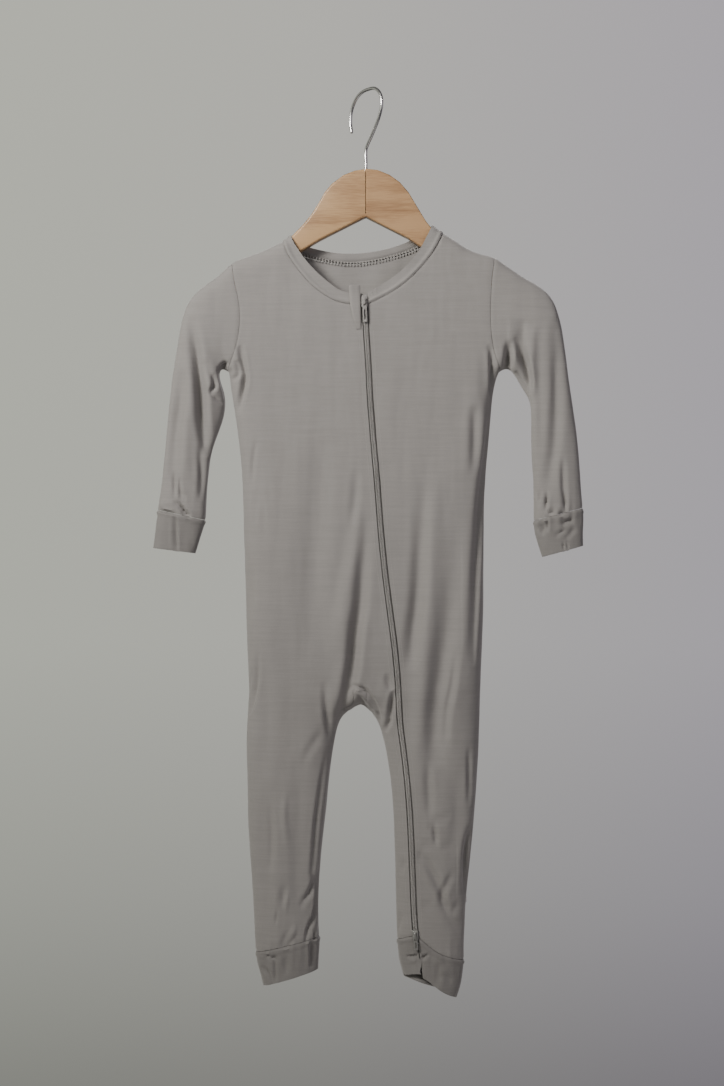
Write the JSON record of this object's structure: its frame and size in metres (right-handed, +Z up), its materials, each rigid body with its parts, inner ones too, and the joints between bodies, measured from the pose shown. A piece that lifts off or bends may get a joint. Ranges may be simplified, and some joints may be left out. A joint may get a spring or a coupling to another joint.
{
  "type": "onesie pajama on a hanger",
  "caption": "Long-sleeved footless one-piece sleepsuit in fine jersey with a slanting two-way zip from the neck to one ankle, hung on a wooden hanger with a wire hook.",
  "frame": {"origin": "inside top of the wire hook, where it rests on the rail that holds it", "axes": "+Z up, front of the garment towards -Y, the wearer's left towards +X"},
  "size_m": [0.3875, 0.0463, 0.8173],
  "materials": {
    "jersey": "fine knit, soft matt",
    "zip_tape": "woven tape",
    "zip_coil": "moulded coil",
    "slider_coated": "tone-on-tone coating",
    "slider_metal": "worn bright metal",
    "label": "woven ribbon",
    "wood_light": "clear satin lacquer",
    "wood_warm": "clear satin lacquer",
    "steel_wire": "polished"
  },
  "bodies": {
    "garment_and_hanger": {"front_right": "jersey", "front_left": "jersey", "back": "jersey", "gusset": "jersey", "sleeve_right": "jersey", "sleeve_left": "jersey", "sleeve_cuff_right": "jersey", "sleeve_cuff_left": "jersey", "leg_cuff_right": "jersey", "leg_cuff_left": "jersey", "neckband": "jersey", "zip_guard": "jersey", "zip_tape_right": "zip_tape", "zip_tape_left": "zip_tape", "zip_coil_right": "zip_coil", "zip_coil_left": "zip_coil", "slider_top": "slider_coated", "slider_bottom": "slider_metal", "side_label": "label", "hanger_arm_right": "wood_light", "hanger_arm_left": "wood_warm", "hook": "steel_wire"},
    "pull_top": {"pull_top": "slider_coated"},
    "pull_bottom": {"pull_bottom": "slider_metal"}
  },
  "joints": [
    {"name": "pull_top_hinge", "type": "hinge", "parent": "garment_and_hanger", "child": "pull_top", "pos_m": [-0.00135, -0.01517, -0.19021], "axis": [-0.9996, -0.0014, -0.0266], "range_deg": [0, 150]},
    {"name": "pull_bottom_hinge", "type": "hinge", "parent": "garment_and_hanger", "child": "pull_bottom", "pos_m": [0.04384, -0.0167, -0.75641], "axis": [-0.9744, 0.2126, -0.0737], "range_deg": [0, 150]}
  ]
}
